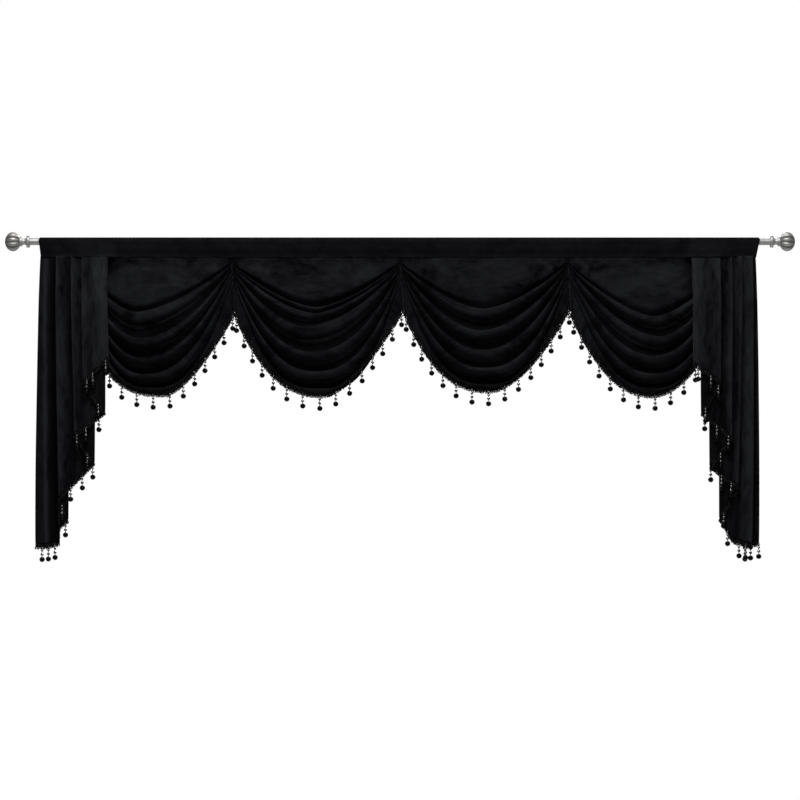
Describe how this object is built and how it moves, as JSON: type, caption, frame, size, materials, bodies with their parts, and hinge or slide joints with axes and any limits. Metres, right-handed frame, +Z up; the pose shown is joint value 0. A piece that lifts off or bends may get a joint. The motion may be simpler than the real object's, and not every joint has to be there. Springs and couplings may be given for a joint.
{
  "type": "window valance on a curtain rod",
  "caption": "Black velvet window valance with draped swags, pleated cascade tails and beaded braid hems, hung by its pocket on a satin nickel rod with ribbed ball finials.",
  "frame": {"origin": "on the rod's axis, at the middle of its length, where brackets would carry the rod", "axes": "+X along the rod, +Z up; the cloth's face looks along -Y, away from the wall"},
  "size_m": [2.1794, 0.1008, 0.9143],
  "materials": {
    "velvet": "black velvet with a soft uneven nap",
    "bead_trim": "black looped braid with glossy black beads",
    "nickel": "satin nickel"
  },
  "bodies": {
    "root": {"rod": "nickel", "finial_left": "nickel", "finial_right": "nickel", "heading": "velvet", "swag_1": "velvet", "swag_2": "velvet", "swag_3": "velvet", "swag_4": "velvet", "tail_left": "velvet", "tail_right": "velvet", "trim_swag_1": "bead_trim", "trim_swag_2": "bead_trim", "trim_swag_3": "bead_trim", "trim_swag_4": "bead_trim", "trim_tail_left": "bead_trim", "trim_tail_right": "bead_trim"}
  },
  "joints": []
}
